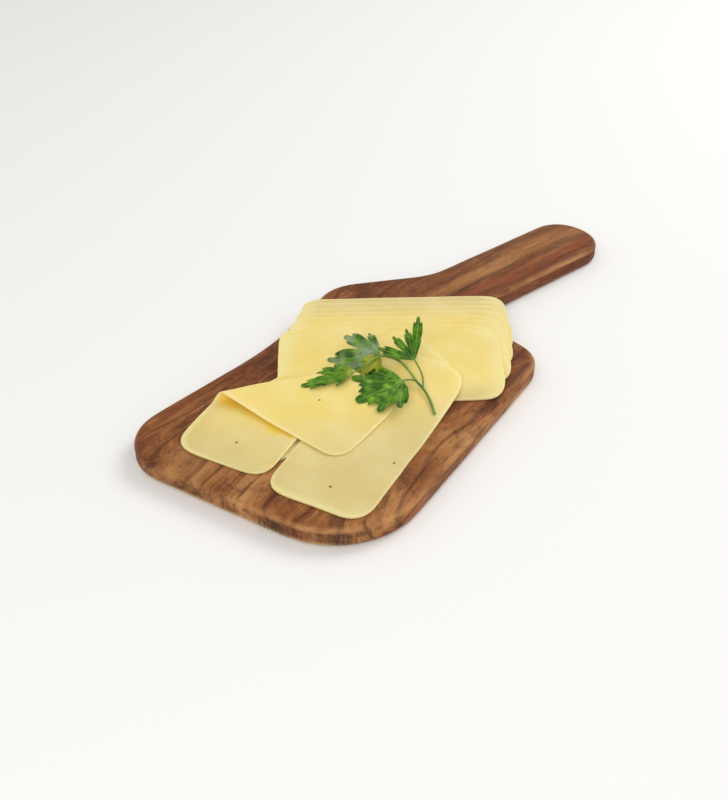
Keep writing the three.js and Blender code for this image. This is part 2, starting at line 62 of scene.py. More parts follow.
CAMERA_AZIMUTH = math.radians(33)
CAMERA_ELEVATION = math.radians(37)
CAMERA_DISTANCE = 0.8077
LENS = 47.25
LOOK_AT = Vector((0.5 * (BOARD_LOW.x + BOARD_HIGH.x) + 4.2 * MM, BOARD_LOW.y + 159.7 * MM, 0))

FLOOR_REACH = 4.0
FLOOR_COLOUR = (0.96, 0.96, 0.955, 1)
WORLD_COLOUR = (1, 0.99, 0.97, 1)
WORLD_STRENGTH = 0.61
# Round lights as (name, place, width, watts, colour).
LIGHTS = [
    ("back_window", (0.5, 1.4, 1.5), 1.2, 15, (1, 0.98, 0.95)),
    ("front_fill", (0.6, -1.5, 1.2), 1.4, 12, (1, 0.985, 0.96)),
]


def add_camera():
    data = bpy.data.cameras.new("camera")
    data.lens = LENS
    data.sensor_width = 36
    data.clip_start = 0.01
    camera = bpy.data.objects.new("camera", data)
    direction = Vector((
        math.sin(CAMERA_AZIMUTH) * math.cos(CAMERA_ELEVATION),
        -math.cos(CAMERA_AZIMUTH) * math.cos(CAMERA_ELEVATION),
        math.sin(CAMERA_ELEVATION),
    ))
    camera.location = LOOK_AT + CAMERA_DISTANCE * direction
    camera.rotation_euler = (-direction).to_track_quat("-Z", "Y").to_euler()
    bpy.context.scene.collection.objects.link(camera)
    bpy.context.scene.camera = camera


def add_area_light(name, location, size, power, colour):
    data = bpy.data.lights.new(name, "AREA")
    data.shape = "DISK"
    data.size = size
    data.energy = power
    data.color = colour
    light = bpy.data.objects.new(name, data)
    light.location = location
    light.rotation_euler = (LOOK_AT - Vector(location)).to_track_quat("-Z", "Y").to_euler()
    bpy.context.scene.collection.objects.link(light)


def add_studio():
    mesh = bpy.data.meshes.new("floor")
    corners = [(x * FLOOR_REACH, y * FLOOR_REACH, 0) for x, y in ((-1, -1), (1, -1), (1, 1), (-1, 1))]
    mesh.from_pydata(corners, [], [(0, 1, 2, 3)])
    floor = bpy.data.objects.new("floor", mesh)
    bpy.context.scene.collection.objects.link(floor)
    material, shader, _ = new_material("floor_pale")
    shader.inputs["Base Color"].default_value = FLOOR_COLOUR
    shader.inputs["Roughness"].default_value = 0.9
    mesh.materials.append(material)

    world = bpy.data.worlds.new("studio")
    world.use_nodes = True
    background = world.node_tree.nodes["Background"]
    background.inputs["Color"].default_value = WORLD_COLOUR
    background.inputs["Strength"].default_value = WORLD_STRENGTH
    bpy.context.scene.world = world
    for light in LIGHTS:
        add_area_light(*light)
    bpy.context.scene.view_settings.view_transform = "Standard"


# ---------------------------------------------------------------- materials

def new_material(name):
    material = bpy.data.materials.new(name)
    material.use_nodes = True
    tree = material.node_tree
    return material, tree.nodes["Principled BSDF"], tree


def let_light_in(shader, weight, radius, scale):
    """Subsurface scattering, with how far red, green and blue travel as shares of the scale."""
    shader.inputs["Subsurface Weight"].default_value = weight
    shader.inputs["Subsurface Radius"].default_value = radius
    shader.inputs["Subsurface Scale"].default_value = scale


class Nodes:
    """Short calls for adding and linking shader nodes in one tree."""

    def __init__(self, tree):
        self.tree = tree

    def add(self, kind, inputs=None, **settings):
        node = self.tree.nodes.new(kind)
        for key, value in settings.items():
            setattr(node, key, value)
        for key, value in (inputs or {}).items():
            if isinstance(value, bpy.types.NodeSocket):
                self.tree.links.new(value, node.inputs[key])
            else:
                node.inputs[key].default_value = value
        return node

    def coordinates(self):
        return self.add("ShaderNodeTexCoord").outputs["Object"]

    def attribute(self, name):
        """A value stored on the mesh's vertices."""
        return self.add("ShaderNodeAttribute", attribute_name=name).outputs["Fac"]

    def split(self, vector):
        """A vector's outputs X, Y and Z."""
        return self.add("ShaderNodeSeparateXYZ", {0: vector}).outputs

    def mapped(self, vector, scale, location=(0, 0, 0)):
        return self.add("ShaderNodeMapping", {
            "Vector": vector, "Scale": scale, "Location": location,
        }).outputs["Vector"]

    def noise(self, vector, scale, detail=3.0, roughness=0.5, distortion=0.0):
        return self.add("ShaderNodeTexNoise", {
            "Vector": vector, "Scale": scale, "Detail": detail,
            "Roughness": roughness, "Distortion": distortion,
        }).outputs["Fac"]

    def ramp(self, factor, stops):
        node = self.add("ShaderNodeValToRGB", {"Fac": factor})
        elements = node.color_ramp.elements
        while len(elements) < len(stops):
            elements.new(0.5)
        for element, (position, colour) in zip(elements, stops):
            element.position = position
            element.color = (*colour, 1)
        return node.outputs["Color"]

    def mix(self, factor, a, b):
        node = self.add("ShaderNodeMix", data_type="RGBA")
        for key, value in ((0, factor), (6, a), (7, b)):
            if isinstance(value, bpy.types.NodeSocket):
                self.tree.links.new(value, node.inputs[key])
            elif key == 0:
                node.inputs[key].default_value = value
            else:
                node.inputs[key].default_value = (*value, 1)
        return node.outputs[2]

    def math(self, operation, a, b=0.0):
        node = self.add("ShaderNodeMath", operation=operation)
        for key, value in ((0, a), (1, b)):
            if isinstance(value, bpy.types.NodeSocket):
                self.tree.links.new(value, node.inputs[key])
            else:
                node.inputs[key].default_value = value
        return node.outputs[0]

    def rescale(self, value, low, high, to_low=0.0, to_high=1.0):
        return self.add("ShaderNodeMapRange", {
            "Value": value, "From Min": low, "From Max": high, "To Min": to_low, "To Max": to_high,
        }).outputs["Result"]

    def bump(self, height, strength, distance, normal=None):
        inputs = {"Height": height, "Strength": strength, "Distance": distance}
        if normal is not None:
            inputs["Normal"] = normal
        return self.add("ShaderNodeBump", inputs).outputs["Normal"]


def srgb(r, g, b):
    """A linear colour from 0 to 255 screen values."""
    return tuple((c / 255 / 12.92) if c <= 10 else ((c / 255 + 0.055) / 1.055) ** 2.4 for c in (r, g, b))


def along_grain(n):
    """Object coordinates bent so that Y follows the body first and then the leaning handle."""
    parts = n.split(n.coordinates())
    past_neck = n.math("MAXIMUM", n.math("SUBTRACT", parts["Y"], NECK_Y), 0.0)
    lean = n.math("MULTIPLY", past_neck, math.tan(HANDLE_LEAN))
    straight = n.math("SUBTRACT", parts["X"], lean)
    bent = n.add("ShaderNodeCombineXYZ", {0: straight, 1: parts["Y"], 2: parts["Z"]})
    return bent.outputs["Vector"]


def swirled(n, place):
    """Slow waves push the grain sideways, so its lines swirl and run round the body's curves."""
    sway = n.add("ShaderNodeTexNoise", {
        "Vector": n.mapped(place, (9, 4, 9)), "Scale": 1.0, "Detail": 2.0,
    }).outputs["Color"]
    push = n.add("ShaderNodeVectorMath", {0: sway, 1: (0.13, 0.05, 0.05), 2: place}, operation="MULTIPLY_ADD")
    return push.outputs["Vector"]


def grain_colour(n, place, swayed, mottle):
    """Broad brown figure, broken up by mottling, soft blots and dark bands."""
    broad = n.noise(n.mapped(swayed, (17, 5, 17)), 1.0, 3.0, 0.55, 0.8)
    colour = n.ramp(broad, [
        (0.32, srgb(92, 48, 21)), (0.44, srgb(130, 73, 34)),
        (0.56, srgb(158, 99, 52)), (0.70, srgb(196, 141, 86)),
    ])
    colour = n.mix(n.rescale(mottle, 0.50, 0.68, 0.0, 0.75), colour, srgb(72, 34, 18))
    colour = n.mix(n.rescale(mottle, 0.45, 0.28, 0.0, 0.6), colour, srgb(196, 134, 78))
    blots = n.noise(n.mapped(place, (46, 34, 46), location=(0.7, 5.2, 0)), 1.0, 5.0, 0.7, 1.4)
    colour = n.mix(n.rescale(blots, 0.53, 0.68, 0.0, 0.55), colour, srgb(78, 36, 20))
    colour = n.mix(n.rescale(blots, 0.44, 0.30, 0.0, 0.45), colour, srgb(190, 122, 62))
    bands = n.add("ShaderNodeTexWave", {
        "Vector": n.mapped(swayed, (1, 0.10, 1)), "Scale": 17.0, "Distortion": 9.0,
        "Detail": 4.0, "Detail Scale": 1.1, "Detail Roughness": 0.6,
    }, wave_type="BANDS", bands_direction="X").outputs["Fac"]
    return n.mix(n.rescale(bands, 0.86, 1.0, 0.0, 0.55), colour, srgb(66, 32, 18))


def handle_mask(n, place):
    return n.rescale(n.split(place)["Y"], NECK_Y - 30 * MM, NECK_Y + 35 * MM, 0.0, 0.62)


def handle_stripes(n, place):
    """The handle's broad stripes: brown, a pale beige middle, a dark line and an orange-brown side."""
    wander = n.rescale(n.noise(n.mapped(place, (4, 9, 4)), 1.0, 2.0), 0.2, 0.8, -6 * MM, 6 * MM)
    across = n.math("ADD", n.split(place)["X"], wander)
    share = n.rescale(across, HANDLE_MIDDLE - 34 * MM, HANDLE_MIDDLE + 34 * MM)
    return n.ramp(share, [
        (0.10, srgb(104, 56, 28)), (0.32, srgb(122, 70, 36)),
        (0.42, srgb(178, 122, 70)), (0.53, srgb(168, 112, 62)),
        (0.62, srgb(74, 36, 18)), (0.76, srgb(146, 74, 32)), (0.95, srgb(112, 56, 26)),
    ])


def pale_low_strip(n, colour):
    """A pale strip low on the free end's side."""
    parts = n.split(n.coordinates())
    low = n.rescale(parts["Z"], 0.34 * BOARD_TOP, 0.18 * BOARD_TOP)
    free_end = n.rescale(parts["Y"], BOARD_LOW.y + 30 * MM, BOARD_LOW.y + 12 * MM, 0.0, 0.8)
    return n.mix(n.math("MULTIPLY", low, free_end), colour, srgb(204, 166, 112))


def end_grain(n, place, colour):
    """Dark upright strokes where the grain ends on the free end's side."""
    parts = n.split(place)
    strokes = n.noise(n.mapped(place, (620, 620, 90)), 1.0, 3.0, 0.6)
    patch = n.noise(n.mapped(place, (24, 24, 10)), 1.0, 2.0)
    cut_end = n.rescale(parts["Y"], BOARD_LOW.y + 42 * MM, BOARD_LOW.y + 14 * MM)
    rightwards = n.rescale(parts["X"], -20 * MM, 40 * MM, 0.25, 1.0)
    where = n.math("MULTIPLY", n.math("MULTIPLY", n.attribute("side"), cut_end), rightwards)
    patchy = n.math("MULTIPLY", where, n.rescale(patch, 0.42, 0.56))
    dark = n.math("MULTIPLY", patchy, n.rescale(strokes, 0.42, 0.56, 0.0, 0.85))
    return n.mix(dark, colour, srgb(56, 38, 32))


def dark_corner(n, place, colour):
    """Near-black spots on the side and edge round the free end's left corner."""
    corner = n.add("ShaderNodeVectorMath", {
        0: n.mapped(place, (1, 1, 0)), 1: (BOARD_LOW.x + 8 * MM, BOARD_LOW.y + 26 * MM, 0),
    }, operation="DISTANCE").outputs["Value"]
    near_corner = n.rescale(corner, 62 * MM, 22 * MM)
    rim = n.math("MAXIMUM", n.attribute("side"), n.attribute("edge"))
    spots = n.rescale(n.noise(n.mapped(place, (95, 95, 120)), 1.0, 4.0, 0.65), 0.47, 0.6, 0.0, 0.85)
    spotted = n.math("MULTIPLY", n.math("MULTIPLY", near_corner, rim), spots)
    return n.mix(spotted, colour, srgb(74, 46, 44))


def rubbed_edge(n, place, colour):
    """The upper edge worn pale, more so towards the right."""
    rubbed = n.rescale(n.noise(n.mapped(place, (40, 18, 40), location=(0, 2, 0)), 1.0, 4.0, 0.6),
                       0.40, 0.62, 0.0, 0.85)
    across = n.split(n.coordinates())["X"]
    rightwards = n.rescale(across, -0.3 * BOARD_HIGH.x, 0.7 * BOARD_HIGH.x, 0.35, 1.0)
    worn = n.math("MULTIPLY", n.math("MULTIPLY", n.attribute("edge"), rightwards), rubbed)
    return n.mix(worn, colour, srgb(206, 150, 98))


def wood_material():
    """Reddish-brown fruitwood: swirling grain, dark heart patches, a worn pale edge and fine pores."""
    material, shader, tree = new_material("board_wood")
    n = Nodes(tree)
    place = along_grain(n)
    swayed = swirled(n, place)
    mottle = n.noise(n.mapped(swayed, (75, 26, 75)), 1.0, 5.0, 0.68, 0.8)
    streaks = n.noise(n.mapped(swayed, (300, 22, 300)), 1.0, 5.0, 0.65)
    pores = n.noise(n.mapped(swayed, (1100, 110, 1100)), 1.0, 2.0, 0.6)

    colour = grain_colour(n, place, swayed, mottle)
    colour = n.mix(handle_mask(n, place), colour, handle_stripes(n, place))
    colour = n.mix(n.rescale(streaks, 0.52, 0.74, 0.0, 0.5), colour, srgb(58, 28, 14))
    colour = n.mix(n.rescale(streaks, 0.44, 0.26, 0.0, 0.34), colour, srgb(212, 156, 98))
    colour = n.mix(n.rescale(pores, 0.56, 0.7, 0.0, 0.5), colour, srgb(56, 28, 16))
    heart = n.noise(n.mapped(place, (12, 8, 12), location=(3.1, 0.4, 0)), 1.0, 3.0, 0.55)
    colour = n.mix(n.rescale(heart, 0.56, 0.70, 0.0, 0.6), colour, srgb(84, 44, 28))
    colour = pale_low_strip(n, colour)
    colour = end_grain(n, place, colour)
    colour = dark_corner(n, place, colour)
    colour = rubbed_edge(n, place, colour)
    tree.links.new(colour, shader.inputs["Base Color"])

    tree.links.new(n.rescale(mottle, 0.3, 0.7, 0.42, 0.64), shader.inputs["Roughness"])
    fine = n.bump(pores, 0.4, 0.0004)
    relief = n.bump(streaks, 0.35, 0.0006, fine)
    tree.links.new(n.bump(mottle, 0.3, 0.0009, relief), shader.inputs["Normal"])
    shader.inputs["Specular IOR Level"].default_value = 0.2
    return material


# Small eyes in the cheese as (slice, shares of its box in X and Y, radius).
EYES = [
    ("front_slice", 0.594, 0.136, 1.05 * MM),
    ("front_slice", 0.855, 0.387, 0.9 * MM),
    ("folded_slice", 0.362, 0.192, 1.0 * MM),
    ("folded_slice", 0.59, 0.692, 0.7 * MM),
]


def eye_places():
    for node, across, along, radius in EYES:
        low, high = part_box(node)
        yield low.x + across * (high.x - low.x), low.y + along * (high.y - low.y), radius


def eye_pits(n, place):
    """How far inside a ragged little eye each point is, from 0 to 1."""
    in_plan = n.mapped(place, (1, 1, 0))
    ragged = n.rescale(n.noise(place, 1500.0, 2.0), 0.3, 0.7, -0.25 * MM, 0.25 * MM)
    pit = 0.0
    for x, y, radius in eye_places():
        away = n.add("ShaderNodeVectorMath", {0: in_plan, 1: (x, y, 0)}, operation="DISTANCE")
        spot = n.rescale(n.math("ADD", away.outputs["Value"], ragged), 1.15 * radius, 0.55 * radius)
        pit = n.math("MAXIMUM", spot, pit)
    return pit


def cheese_material():
    """Pale semi-hard cheese: soft translucency, faint mottling, satin surface and a few tiny eyes; painted
    shade in the eyes, painted glow in the fold, painted highlights on the rims and painted shade low on the
    board.
    """
    material, shader, tree = new_material("cheese")
    n = Nodes(tree)
    place = n.coordinates()
    mottle = n.noise(place, 38.0, 4.0, 0.55)
    grain = n.noise(place, 900.0, 3.0, 0.6)
    # Cheese low on the board is painted duller and cheese lifted off it brighter: partly the dark wood
    # showing through the thin slice, partly painted shade and painted light.
    off_wood = n.rescale(n.split(place)["Z"], BOARD_TOP + 2 * MM, BOARD_TOP + 9 * MM)
    thick = n.ramp(mottle, [
        (0.30, srgb(251, 216, 122)), (0.50, srgb(253, 221, 134)), (0.70, srgb(254, 227, 148)),
    ])
    thin = n.ramp(mottle, [
        (0.30, srgb(220, 199, 131)), (0.50, srgb(225, 205, 140)), (0.70, srgb(230, 211, 151)),
    ])
    colour = n.mix(off_wood, thin, thick)
    # Painted glow: the inside of the fold is painted a deeper yellow, standing in for light that bounces
    # about inside it.
    colour = n.mix(n.rescale(n.attribute("fold_glow"), 0.04, 0.45, 0.0, 0.85), colour, srgb(250, 204, 62))
    # Painted highlight: cut rims are painted paler than the faces, standing in for light glinting through the
    # thin edge.
    colour = n.mix(n.rescale(n.attribute("rim"), 0.3, 1.0, 0.0, 0.5), colour, srgb(255, 236, 172))
    pit = eye_pits(n, place)
    # Painted shade: the eyes are painted dark brown, standing in for shade inside the little holes.
    colour = n.mix(pit, colour, srgb(112, 74, 30))
    tree.links.new(colour, shader.inputs["Base Color"])
    tree.links.new(n.rescale(mottle, 0.3, 0.7, 0.36, 0.5), shader.inputs["Roughness"])
    soft = n.bump(mottle, 0.25, 0.0012)
    fine = n.bump(grain, 0.12, 0.0002, soft)
    dimple = n.bump(n.math("MULTIPLY", pit, -1.0), 0.9, 0.0008, fine)
    tree.links.new(dimple, shader.inputs["Normal"])
    let_light_in(shader, 0.45, (1.0, 0.66, 0.22), 0.0035)
    shader.inputs["Specular IOR Level"].default_value = 0.35
    return material


def leaf_material():
    """Parsley leaf: mottled green, its darkest greens partly painted shade, between paler veins, with painted
    sheen as pale greyish patches, or young yellow-green.
    """
    material, shader, tree = new_material("parsley_leaf")
    n = Nodes(tree)
    place = n.coordinates()
    # The mottling is partly the leaf's own, partly painted shade: its darkest greens stand in for shade where
    # the leaf curls.
    blotch = n.noise(place, 120.0, 4.0, 0.6)
    colour = n.ramp(blotch, [
        (0.32, srgb(24, 58, 8)), (0.46, srgb(58, 108, 16)),
        (0.60, srgb(106, 154, 32)), (0.74, srgb(158, 196, 78)),
    ])
    vein = n.attribute("vein")
    colour = n.mix(n.rescale(vein, 0.3, 1.0, 0.0, 0.5), colour, srgb(150, 178, 88))
    # Painted sheen: greyish-pale patches where the leaf's surface catches light, strongest on leaf 1.
    patches = n.rescale(n.noise(place, 75.0, 3.0, 0.5), 0.4, 0.62)
    colour = n.mix(n.math("MULTIPLY", n.attribute("pale"), patches), colour, srgb(160, 176, 138))
    youngest = n.mix(patches, srgb(140, 148, 30), srgb(176, 178, 62))
    colour = n.mix(n.attribute("young"), colour, youngest)
    tree.links.new(colour, shader.inputs["Base Color"])
    tree.links.new(n.rescale(blotch, 0.3, 0.7, 0.42, 0.6), shader.inputs["Roughness"])
    shader.inputs["Specular IOR Level"].default_value = 0.25
    crinkle = n.bump(n.noise(place, 420.0, 3.0, 0.6), 0.4, 0.0006)
    ribs = n.bump(vein, 0.6, 0.0005, crinkle)
    tree.links.new(ribs, shader.inputs["Normal"])
    let_light_in(shader, 0.15, (0.4, 1.0, 0.2), 0.001)
    return material


def stem_material():
    """Fresh green stalk with paler patches and a fine rough relief."""
    material, shader, tree = new_material("parsley_stem")
    n = Nodes(tree)
    place = n.coordinates()
    patch = n.noise(place, 90.0, 3.0, 0.5)
    colour = n.ramp(patch, [(0.3, srgb(74, 112, 34)), (0.55, srgb(104, 142, 52)), (0.75, srgb(148, 176, 84))])
    tree.links.new(colour, shader.inputs["Base Color"])
    tree.links.new(n.rescale(patch, 0.3, 0.7, 0.35, 0.5), shader.inputs["Roughness"])
    tree.links.new(n.bump(n.noise(place, 1400.0, 2.0, 0.5), 0.3, 0.0003), shader.inputs["Normal"])
    let_light_in(shader, 0.2, (0.4, 1.0, 0.2), 0.001)
    return material


# ---------------------------------------------------------------- meshes from the CAD solids

def welded(node):
    """The CAD node's mesh as a bmesh of joined-up faces, four-sided where possible."""
    bm = bmesh.new()
    bm.from_mesh(NODES[node].data)
    bmesh.ops.remove_doubles(bm, verts=bm.verts, dist=0.004 * MM)
    bmesh.ops.join_triangles(
        bm, faces=bm.faces, angle_face_threshold=math.radians(50), angle_shape_threshold=math.radians(120))
    bmesh.ops.recalc_face_normals(bm, faces=bm.faces)
    return bm


def add_piece(name, bm, material, node):
    mesh = bpy.data.meshes.new(name)
    bm.to_mesh(mesh)
    bm.free()
    mesh.materials.append(material)
    mesh.polygons.foreach_set("use_smooth", [True] * len(mesh.polygons))
    piece = bpy.data.objects.new(name, mesh)
    bpy.context.scene.collection.objects.link(piece)
    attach(piece, "root")
    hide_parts(node)
    return piece


def apply_modifiers(piece):
    bpy.context.view_layer.update()
    graph = bpy.context.evaluated_depsgraph_get()
    mesh = bpy.data.meshes.new_from_object(piece.evaluated_get(graph))
    piece.modifiers.clear()
    piece.data = mesh
    mesh.polygons.foreach_set("use_smooth", [True] * len(mesh.polygons))


# How the inside of the fold is felt for: rays of this reach, at these rises and this many azimuths,
# from a little above each vertex that faces up at least this much.
NOOK_REACH = 16 * MM
NOOK_RISES = (math.radians(20), math.radians(45), math.radians(70))
NOOK_AZIMUTHS = 10
NOOK_START = 0.2 * MM
NOOK_FACING_UP = 0.3


def mark_nooks(bm):
    """Store how closely the slice's own fold hangs over each upward-facing vertex, from 0 to 1, for the
    painted glow inside the fold.
    """
    bm.normal_update()
    tree = BVHTree.FromBMesh(bm)
    fold_glow = bm.verts.layers.float.new("fold_glow")
    rays = []
    for rise in NOOK_RISES:
        flat = math.cos(rise)
        for i in range(NOOK_AZIMUTHS):
            turn = math.tau * i / NOOK_AZIMUTHS
            rays.append(Vector((flat * math.cos(turn), flat * math.sin(turn), math.sin(rise))))
    for vertex in bm.verts:
        if vertex.normal.z < NOOK_FACING_UP:
            continue
        start = vertex.co + NOOK_START * vertex.normal
        met = [ray for ray in rays if tree.ray_cast(start, ray, NOOK_REACH)[0] is not None]
        vertex[fold_glow] = len(met) / len(rays)


# A slice's cut edge: the angle that tells it from the drape, and how far it is rounded.
CUT_ANGLE = math.radians(55)
CUT_ROUNDING = 0.3 * MM
# A slice's outline drifts sideways in slow waves, and in quick ones that are this many times shorter.
DRIFT_WAVE = 24 * MM
QUICK_WAVES = 3.7
SLOW_DRIFT = 0.4 * MM
QUICK_DRIFT = 0.35 * MM
SLICE_SEED_STEP = 7.3


def soft_slice(node, material):
    """A slice with its cut edge rounded off and its drape smoothed."""
    bm = welded(node)
    sharp = [e for e in bm.edges if len(e.link_faces) == 2 and e.calc_face_angle(0) > CUT_ANGLE]
    edging = bmesh.ops.bevel(
        bm, geom=sharp, offset=CUT_ROUNDING, offset_type="OFFSET", segments=2, profile=0.6, affect="EDGES")
    # Mark the rounded rim for the painted highlight in the cheese's colour.
    rim = bm.verts.layers.float.new("rim")
    for face in edging["faces"]:
        for vertex in face.verts:
            vertex[rim] = 1.0
    if node == "folded_slice":
        mark_nooks(bm)
    seed = SLICES.index(node) * SLICE_SEED_STEP
    for vertex in bm.verts:
        at = Vector((vertex.co.x, vertex.co.y, 0)) / DRIFT_WAVE + Vector((0, 0, seed))
        push = SLOW_DRIFT * noise.noise_vector(at) + QUICK_DRIFT * noise.noise_vector(QUICK_WAVES * at)
        vertex.co.x += push.x
        vertex.co.y += push.y
    piece = add_piece(f"{node}_soft", bm, material, node)
    smooth = piece.modifiers.new("smooth", "SUBSURF")
    smooth.levels = 2
    smooth.render_levels = smooth.levels
    apply_modifiers(piece)
    return piece


OUTLINE_POINTS = 480
OUTLINE_SMOOTHINGS = 6


def outline_of(node, height):
    """The CAD node's outline at a height, as the plan points of its vertices in order, anticlockwise."""
    bm = welded(node)
    ring = [e for e in bm.edges if all(abs(v.co.z - height) < 0.01 * MM for v in e.verts)]
    neighbours = {}
    for edge in ring:
        a, b = edge.verts
        neighbours.setdefault(a, []).append(b)
        neighbours.setdefault(b, []).append(a)
    start = min(neighbours, key=lambda v: (v.co.y, v.co.x))
    loop = [start]
    while True:
        onward = [v for v in neighbours[loop[-1]] if v not in loop[-2:]]
        if not onward or onward[0] is start:
            break
        loop.append(onward[0])
    points = np.array([v.co[:2] for v in loop])
    bm.free()
    following = np.roll(points, -1, axis=0)
    if np.sum(points[:, 0] * following[:, 1] - points[:, 1] * following[:, 0]) < 0:
        points = points[::-1]
    return points


def evened(points):
    """A closed outline with its points evenly spaced and slightly smoothed."""
    closed = np.vstack([points, points[:1]])
    travelled = np.concatenate([[0], np.cumsum(np.linalg.norm(np.diff(closed, axis=0), axis=1))])
    places = np.linspace(0, travelled[-1], OUTLINE_POINTS + 1)[:-1]
    even = np.stack([np.interp(places, travelled, closed[:, k]) for k in (0, 1)], axis=1)
    for _ in range(OUTLINE_SMOOTHINGS):
        even = 0.5 * even + 0.25 * (np.roll(even, 1, axis=0) + np.roll(even, -1, axis=0))
    return even


EDGE_RADIUS = 4.6 * MM
# The height, clear of the rounded edge, at which the CAD board's outline is taken.
OUTLINE_HEIGHT = 4 * MM
# How far the whole outline is drawn in, and how far it wears in and out in waves of this many to a metre.
DRAWN_IN = 0.3 * MM
WEAR_DEPTH = 0.35 * MM
WEAR_WAVES = 26


def edge_profile():
    """(inset, height) from the underside up round both edges and a little way onto the top."""
    steps = [math.radians(a) for a in (0, 18, 36, 54, 72, 90)]
    under = [(EDGE_RADIUS * (1 - math.sin(a)), EDGE_RADIUS * (1 - math.cos(a))) for a in steps]
    over = [(EDGE_RADIUS * (1 - math.cos(a)), BOARD_TOP - EDGE_RADIUS * (1 - math.sin(a))) for a in steps]
    middle = [(0.15 * MM, 0.5 * BOARD_TOP)]
    return under + middle + over + [(2.2 * EDGE_RADIUS, BOARD_TOP)]


def cap(bm, ring, upward):
    """Fill a flat ring of vertices with triangles that all face the same way."""
    for triangle in tessellate_polygon([[v.co for v in ring]]):
        face = bm.faces.new([ring[i] for i in triangle])
        face.normal_update()
        if (face.normal.z > 0) != upward:
            face.normal_flip()


def make_board(material):
    """The paddle board with a hand-worn outline and softly rounded edges."""
    points = evened(outline_of("paddle_board", OUTLINE_HEIGHT))
    tangent = np.roll(points, -1, axis=0) - np.roll(points, 1, axis=0)
    tangent /= np.linalg.norm(tangent, axis=1)[:, None]
    outward = np.stack([tangent[:, 1], -tangent[:, 0]], axis=1)
    wear = np.array([noise.noise(Vector((x * WEAR_WAVES, y * WEAR_WAVES, 4.0))) for x, y in points])
    bm = bmesh.new()
    edge_layer = bm.verts.layers.float.new("edge")
    side_layer = bm.verts.layers.float.new("side")
    rings = []
    for inset, height in edge_profile():
        uneven = WEAR_DEPTH * wear * (1 if 0.1 * MM < height < BOARD_TOP - 0.1 * MM else 0.5)
        ring = points - outward * (inset + DRAWN_IN - uneven)[:, None]
        rings.append([bm.verts.new((x, y, height)) for x, y in ring])
        below_top = min(max((BOARD_TOP - height) / EDGE_RADIUS, 0), 1)
        on_edge = math.sin(math.pi * below_top) if inset < EDGE_RADIUS else 0
        for vertex in rings[-1]:
            vertex[edge_layer] = on_edge
            vertex[side_layer] = 1.0 if height < BOARD_TOP - 0.6 * EDGE_RADIUS else 0.0
    count = len(points)
    for low, high in zip(rings, rings[1:]):
        for i in range(count):
            j = (i + 1) % count
            bm.faces.new((low[i], low[j], high[j], high[i]))
    cap(bm, rings[-1], True)
    cap(bm, rings[0], False)
    add_piece("board_worn", bm, material, "paddle_board")


# ---------------------------------------------------------------- parsley

# Lobes of each leaf as (angle from the leaf's axis in degrees, share of its length, half width in degrees).
LOBES = {
    "parsley_leaf_1": [(0, 1.0, 19), (-37, 0.86, 18), (-68, 0.56, 16), (24, 0.82, 15), (48, 0.6, 14)],
    "parsley_leaf_2": [(0, 1.0, 13), (-25, 0.7, 13), (-50, 0.46, 14), (22, 0.44, 14)],
    "parsley_leaf_3": [(-40, 1.0, 12), (-20, 0.74, 13), (6, 0.74, 13), (36, 0.86, 14)],
    "parsley_leaf_4": [(0, 0.97, 26), (-32, 0.92, 24), (-58, 0.74, 21), (29, 0.86, 24), (54, 0.74, 21)],
    "parsley_leaf_5": [(0, 1.0, 20), (-34, 0.6, 18), (30, 0.66, 18)],
}
# The sprig's leaves tilt about this direction in plan, in degrees from +X.
TILT_AXIS = 33
STEM_SEARCH = 1.8 * MM
PETIOLE_RADIUS = 0.6 * MM
# Points round a leaf's edge and from its base out to it.
LEAF_ROWS = 141
LEAF_COLUMNS = 12
LEAF_THICKNESS = 0.3 * MM
LEAF_CLEARANCE = 0.5 * MM
LEAF_SEED_STEP = 1.7
# Teeth as shares of a lobe's half width and length: their spacing, the notch's width and its depth.
TOOTH_SPACING = 0.62
NOTCH_WIDTH = 0.09
NOTCH_DEPTH = 0.13
# Half widths of the veins, as shares of the leaf's length.
MAIN_VEIN = 0.014
SIDE_VEIN = 0.012


def stem_point(x, y):
    """Middle of the CAD stem near a plan position given in mm from the stem's low corner."""
    low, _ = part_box("parsley_stem")
    near = [v.co for v in NODES["parsley_stem"].data.vertices
            if math.hypot(v.co.x - low.x - x * MM, v.co.y - low.y - y * MM) < STEM_SEARCH]
    return sum(near, Vector()) / len(near)


def tube_into(bm, points, radius):
    """A closed tube along a few points, added to a bmesh."""
    curve = bpy.data.curves.new("route", "CURVE")
    curve.dimensions = "3D"
    curve.bevel_depth = radius
    curve.bevel_resolution = 3
    curve.use_fill_caps = True
    spline = curve.splines.new("NURBS")
    spline.points.add(len(points) - 1)
    for point, co in zip(spline.points, points):
        point.co = (*co, 1)
    spline.use_endpoint_u = True
    spline.order_u = 3
    holder = bpy.data.objects.new("route", curve)
    bpy.context.scene.collection.objects.link(holder)
    bpy.context.view_layer.update()
    mesh = bpy.data.meshes.new_from_object(holder.evaluated_get(bpy.context.evaluated_depsgraph_get()))
    bm.from_mesh(mesh)
    bpy.data.objects.remove(holder)
    bpy.data.curves.remove(curve)
    bpy.data.meshes.remove(mesh)


def make_stem(material, petioles):
    """The CAD stem with the leaves' own thin stalks grown onto it."""
    bm = welded("parsley_stem")
    for points in petioles:
        tube_into(bm, points, PETIOLE_RADIUS)
    piece = add_piece("stem_smooth", bm, material, "parsley_stem")
    remesh = piece.modifiers.new("remesh", "REMESH")
    remesh.mode = "VOXEL"
    remesh.voxel_size = 0.3 * MM
    smooth = piece.modifiers.new("smooth", "SMOOTH")
    smooth.factor = 0.5
    smooth.iterations = 4
    apply_modifiers(piece)


